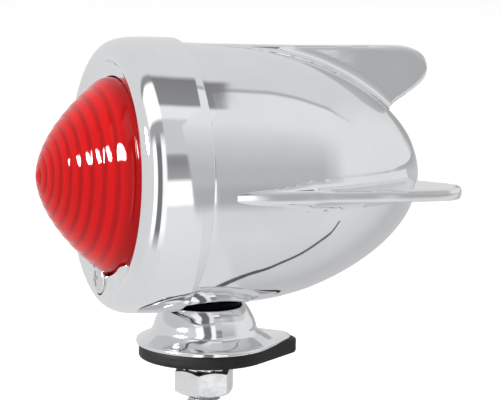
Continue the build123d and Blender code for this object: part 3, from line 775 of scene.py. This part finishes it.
def build_gasket():
    mesh = bmesh.new()
    loops = []
    for inset, z in ((0.5, 0.0), (0.18, 0.06), (0.0, 0.35), (0.0, 1.3), (0.03, 1.65), (0.0, 2.0), (0.0, 2.9),
                     (0.1, 3.15), (0.35, GASKET_THICK)):
        loops.append(teardrop(GASKET[0] - inset, GASKET[1], GASKET[2] - inset, z))
    for z in (GASKET_THICK, 0.0):
        loops.append(ring_like(GASKET, STUD_HOLE_R, z))
    loft(mesh, loops, ring=True)
    return piece("teardrop_gasket", mesh, gasket_rubber, "base", ["base_gasket"], sharp=45)


teardrop_gasket = build_gasket()


# ============================ stud, washers and nut ============================

def build_stud():
    """Hollow stud with a rolled thread up to the gasket and a turned head inside the lamp."""
    mesh = bmesh.new()
    turns, per_pitch = 72, 12
    depth = 0.61 * THREAD_PITCH
    rows = int((-1.5 - STUD_END) / THREAD_PITCH * per_pitch)
    head_top, chamfer = 22.0, 0.75
    loops = [flat_circle(STUD_BORE_R, z, turns) for z in (head_top, STUD_END)]
    for row in range(rows + 1):
        z = STUD_END + row * THREAD_PITCH / per_pitch
        loop = []
        for k in range(turns):
            phase = (z / THREAD_PITCH - k / turns) % 1.0
            flank = min(1.0, max(0.0, (abs(phase - 0.5) * 2 - 0.12) / 0.66))
            lead_in = min(1.0, (z - STUD_END) / 1.2)
            radius = min(STUD_R - depth * flank, STUD_R - chamfer + chamfer * lead_in)
            loop.append(flat_point(radius, 2 * math.pi * k / turns, z))
        loops.append(loop)
    for z, radius in ((-1.2, STUD_R), (18.3, STUD_R), (18.3, 6.8), (18.5, 7.0), (21.4, 7.0), (head_top, 6.4)):
        loops.append(flat_circle(radius, z, turns))
    loft(mesh, loops, ring=True)
    return piece("threaded_stud", mesh, stud_zinc, "base", ["stud"], sharp=50)


threaded_stud = build_stud()


def build_tooth_washer():
    """Toothed lock washer: a thin ring whose teeth are twisted out of its plane."""
    mesh = bmesh.new()
    steps, teeth = 288, 12
    loops = []
    sheet, radii = 0.45, (4.3, 5.2, 5.9, 6.35)
    for radius, height in [(r, 0.0) for r in radii] + [(r, sheet) for r in reversed(radii)]:
        loop = []
        for k in range(steps):
            angle = 2 * math.pi * k / steps
            phase = (k * teeth / steps) % 1.0
            in_tooth = 1.0 if 0.16 < phase < 0.84 else 0.0
            r = radius if in_tooth or radius < 5.5 else 5.5 + (radius - 5.5) * 0.05
            twist = (phase - 0.5) * 0.34 * max(0.0, (r - 5.2) / 1.15) * in_tooth
            loop.append(flat_point(r, angle, NUT_TOP + 0.12 + height + twist))
        loops.append(loop)
    loft(mesh, loops, ring=True)
    return piece("tooth_washer", mesh, zinc_plate, "washers", ["lock_washer"])


tooth_washer = build_tooth_washer()


def build_nut():
    """Hexagon nut with both faces turned off at thirty degrees and a plain bore with chamfered ends."""
    mesh = bmesh.new()
    flat = NUT_FLATS / 2
    bottom = NUT_TOP - NUT_HEIGHT
    turns = 144

    def hexagon(angle):
        return flat / math.cos((angle + math.pi / 6) % (math.pi / 3) - math.pi / 6)

    def loop(radius_of, height_of):
        points = []
        for k in range(turns):
            angle = 2 * math.pi * k / turns
            r = radius_of(angle)
            points.append(Vector((r * math.cos(angle), r * math.sin(angle), height_of(r))))
        return points

    crown = 6.2
    slope = math.tan(math.radians(30))
    loops = [loop(lambda a: crown, lambda r: NUT_TOP),
             loop(hexagon, lambda r: NUT_TOP - max(0.0, r - crown) * slope),
             loop(hexagon, lambda r: bottom + max(0.0, r - crown) * slope),
             loop(lambda a: crown, lambda r: bottom),
             loop(lambda a: 4.5, lambda r: bottom), loop(lambda a: 4.06, lambda r: bottom + 0.4),
             loop(lambda a: 4.06, lambda r: NUT_TOP - 0.4), loop(lambda a: 4.5, lambda r: NUT_TOP)]
    loft(mesh, loops, ring=True)
    return piece("hexagon_nut", mesh, zinc_plate, "nut", ["hex_nut"], sharp=22)


hexagon_nut = build_nut()
soften = hexagon_nut.modifiers.new("soft_edges", "BEVEL")
soften.width = 0.00018
soften.segments = 2
soften.angle_limit = math.radians(25)

# ============================ inner pieces carried over ============================

inner_finishes = {
    "lens_gasket": gasket_rubber, "lens_retainer": spring_steel, "screw_washer": red_fibre,
    "reflector": reflector_bright, "reflector_snap_ring": spring_steel, "socket_shell": socket_zinc,
    "socket_rivets": plain_brass, "contact_carrier": brown_fibre, "contact_buttons": plain_brass,
    "contact_spring": spring_steel, "bulb_glass": clear_glass, "bulb_stem": clear_glass,
    "filament_supports": drawn_wire, "filaments": drawn_wire, "bulb_base": plain_brass, "bulb_insulator": black_glass,
    "bulb_contacts": dull_solder, "bulb_pins": plain_brass, "tail_lead": lead_black, "brake_lead": lead_red,
    "stud_grommet": gasket_rubber, "wave_washer": spring_steel, "swivel_shim": red_fibre,
}
for node, material in inner_finishes.items():
    obj = frame["nodes"][node]
    obj.data.materials.clear()
    obj.data.materials.append(material)

# ============================ floor, lights and camera ============================

FLOOR = STUD_END * MM - 0.004


def plain(name, colour, rough=0.9):
    """A single flat colour, for what stands round the lamp."""
    material = bpy.data.materials.new(name)
    material.use_nodes = True
    shader = material.node_tree.nodes["Principled BSDF"]
    shader.inputs["Base Color"].default_value = colour
    shader.inputs["Roughness"].default_value = rough
    return material


def stage_card(name, corners, material, seen=False):
    """One flat face of the studio; it is no part of the lamp."""
    data = bpy.data.meshes.new(name)
    data.from_pydata([Vector(c) for c in corners], [], [tuple(range(len(corners)))])
    obj = bpy.data.objects.new(name, data)
    data.materials.append(material)
    bpy.context.scene.collection.objects.link(obj)
    obj.visible_camera = seen
    return obj


def towards(azimuth, elevation):
    """A direction away from the lamp: azimuth from the lens side towards +X, elevation up."""
    az, el = math.radians(azimuth), math.radians(elevation)
    return Vector((math.sin(az) * math.cos(el), -math.cos(az) * math.cos(el), math.sin(el)))


floor_half = 2.5
floor = stage_card("floor", [(x * floor_half, y * floor_half, FLOOR) for x, y in ((-1, -1), (1, -1), (1, 1), (-1, 1))],
                   plain("floor_white", (0.9, 0.9, 0.9, 1)), seen=True)
floor.visible_glossy = False


def level_ramp(tree, value, stops):
    """Grey levels along a value from 0 to 1."""
    node = tree.nodes.new("ShaderNodeValToRGB")
    ends = node.color_ramp.elements
    for stop, (place, level) in zip((ends[0], ends[1]), (stops[0], stops[-1])):
        stop.position = place
        stop.color = (level, level, level * 1.012, 1)
    for place, level in stops[1:-1]:
        ends.new(place).color = (level, level, level * 1.012, 1)
    tree.links.new(value, node.inputs["Fac"])
    return node.outputs["Color"]


def turn_stops(pairs):
    """Stops given in degrees round the lamp axis: 0 on the left, 90 overhead, 180 on the right, -90 below."""
    return [((degrees + 180) / 360, level) for degrees, level in pairs]


# light levels by degrees round the lamp axis; FRONT_BANDS by distance from straight ahead (-1) to straight behind (1)
SIDE_BANDS = [(-180, 0.76), (-90, 0.82), (-50, 0.88), (-17, 0.90), (-13, 1.4), (3, 1.4), (7, 0.42), (20, 0.30),
              (25, 0.34), (28, 0.68), (55, 0.70), (58, 0.95), (67, 0.95), (70, 0.31), (96, 0.26), (101, 0.79),
              (180, 0.79)]
REAR_BANDS = [(-180, 0.44), (-168, 0.62), (-112, 0.60), (-90, 0.72), (-50, 0.82), (-25, 0.80), (-15, 0.50),
              (-6, 0.49), (2, 0.56), (14, 0.57), (34, 0.70), (56, 0.90), (86, 0.92), (88.5, 0.52), (90, 0.52),
              (92.5, 0.79), (163, 0.79), (168, 0.44), (180, 0.44)]
FRONT_BANDS = [(-1.0, 0.80), (-0.60, 0.80), (-0.56, 1.4), (-0.36, 1.4), (-0.31, 0.22), (-0.08, 0.22), (-0.02, 1.2),
               (0.3, 1.2)]
FRONT_HIGH = [(-180, 0.79), (-90, 0.80), (-30, 0.85), (24, 0.70), (36, 0.60), (44, 0.42), (54, 0.42), (58, 1.4),
              (89, 1.4), (93, 0.33), (98, 0.33), (102, 0.79), (180, 0.79)]


def build_studio():
    """White studio: pale walls with darker bands, laid out round the lamp's axis."""
    world = bpy.data.worlds.new("studio")
    bpy.context.scene.world = world
    world.use_nodes = True
    tree = world.node_tree
    split = tree.nodes.new("ShaderNodeSeparateXYZ")
    tree.links.new(tree.nodes.new("ShaderNodeTexCoord").outputs["Generated"], split.inputs[0])
    along = split.outputs["Y"]
    turn = maths(tree, "ARCTAN2", split.outputs["Z"], split.outputs["X"])
    place = spread(tree, turn, -math.pi, math.pi, 0.0, 1.0)
    side_walls = level_ramp(tree, place, turn_stops(SIDE_BANDS))
    rear_walls = level_ramp(tree, place, turn_stops(REAR_BANDS))
    front_low = level_ramp(tree, spread(tree, along, -1.0, 1.0, 0.0, 1.0),
                           [((y + 1) / 2, level) for y, level in FRONT_BANDS])
    front_high = blend_colours(tree, spread(tree, along, -0.72, -0.60, 0.0, 1.0), (0.79, 0.79, 0.80, 1.0),
                               level_ramp(tree, place, turn_stops(FRONT_HIGH)))
    low_mask = maths(tree, "MULTIPLY", spread(tree, turn, math.radians(-55), math.radians(-35), 0.0, 1.0),
                     spread(tree, turn, math.radians(34), math.radians(46), 1.0, 0.0))
    front = blend_colours(tree, low_mask, front_high, front_low)
    # the rear walls begin at a line that leans back overhead
    seam = spread(tree, turn, math.radians(50), math.radians(68), 0.342, 0.405)
    rear_mask = spread(tree, maths(tree, "MULTIPLY", maths(tree, "SUBTRACT", along, seam), 110.0), 0.0, 1.0, 0.0, 1.0)
    far_glow = maths(tree, "MULTIPLY", spread(tree, along, 0.74, 0.88, 0.0, 1.0),
                     spread(tree, turn, -0.2, 0.1, 0.0, 1.0))
    rear_walls = blend_colours(tree, far_glow, rear_walls, (0.90, 0.90, 0.91, 1.0))
    sides = blend_colours(tree, rear_mask, side_walls, rear_walls)
    shade = blend_colours(tree, spread(tree, along, 0.09, 0.14, 0.0, 1.0), front, sides)
    seen = tree.nodes.new("ShaderNodeLightPath").outputs["Is Camera Ray"]
    final = blend_colours(tree, seen, shade, (1.0, 1.0, 1.0, 1.0))
    tree.links.new(final, tree.nodes["Background"].inputs["Color"])


build_studio()


def softbox(name, azimuth, elevation, distance, width, depth, power):
    away = towards(azimuth, elevation)
    light = bpy.data.lights.new(name, "AREA")
    light.shape = "RECTANGLE"
    light.size, light.size_y = width, depth
    light.energy = power
    obj = bpy.data.objects.new(name, light)
    obj.location = Vector((0, 0.01, 0.04)) + away * distance
    obj.rotation_euler = away.to_track_quat("Z", "Y").to_euler()
    bpy.context.scene.collection.objects.link(obj)
    return obj


overhead = softbox("overhead_box", azimuth=60, elevation=84, distance=1.0, width=0.9, depth=1.1, power=9)
overhead.visible_glossy = False


def glowing(name, level):
    material = bpy.data.materials.new(name)
    material.use_nodes = True
    tree = material.node_tree
    tree.nodes.remove(tree.nodes["Principled BSDF"])
    glow = tree.nodes.new("ShaderNodeEmission")
    glow.inputs["Color"].default_value = (1.0, 1.0, 1.0, 1.0)
    glow.inputs["Strength"].default_value = level
    tree.links.new(glow.outputs[0], tree.nodes["Material Output"].inputs["Surface"])
    return material


def reflected_only(card):
    """Keeps a card out of everything but glossy reflections."""
    card.visible_camera = False
    card.visible_diffuse = False
    card.visible_transmission = False
    card.visible_shadow = False


front_flash = stage_card(
    "front_flash", [(0.29 + 0.26 * math.cos(a), -1.13, 0.55 + 0.14 * math.sin(a))
                    for a in (2 * math.pi * (k + 0.5) / 16 for k in range(16))], glowing("flash_glow", 110.0))
reflected_only(front_flash)


def build_dark_reflection_strip():
    """A dark strip on the floor under the lamp, seen only by glossy rays: a painted dark line in the chrome's
    reflections.
    """
    line = smooth_run([(-0.066, 0.016), (-0.022, 0.010), (0.022, 0.022), (0.046, 0.066), (0.072, 0.124)], steps=8)
    near, far = [], []
    for k, (x, y) in enumerate(line):
        ahead = Vector(line[min(k + 1, len(line) - 1)]) - Vector(line[max(k - 1, 0)])
        across = Vector((-ahead.y, ahead.x)).normalized() * 0.0016
        near.append((x + across.x, y + across.y, FLOOR + 0.0005))
        far.append((x - across.x, y - across.y, FLOOR + 0.0005))
    # painted reflection: this strip shows only as a dark line in the chrome
    card = stage_card("reflected_dark_line", near + far[::-1], glowing("seam_shade", 0.12))
    reflected_only(card)


build_dark_reflection_strip()

CAMERA_AZ, CAMERA_EL, CAMERA_ROLL, CAMERA_DIST = 70.5, 11.0, 1.04, 0.8519
camera_data = bpy.data.cameras.new("camera")
camera_data.sensor_width = 36.0
camera_data.lens = 254.05
camera = bpy.data.objects.new("camera", camera_data)
bpy.context.scene.collection.objects.link(camera)
back = towards(CAMERA_AZ, CAMERA_EL)
level = Vector((math.cos(math.radians(CAMERA_AZ)), math.sin(math.radians(CAMERA_AZ)), 0))
lift = back.cross(level)
roll = math.radians(CAMERA_ROLL)
right = level * math.cos(roll) + lift * math.sin(roll)
up = back.cross(right)
look_at = Vector((0.0, 0.0110, 0.0378))
spot = look_at + back * CAMERA_DIST
camera.matrix_world = Matrix(((right.x, up.x, back.x, spot.x), (right.y, up.y, back.y, spot.y),
                              (right.z, up.z, back.z, spot.z), (0, 0, 0, 1)))
bpy.context.scene.camera = camera
bpy.context.scene.view_settings.view_transform = "Standard"
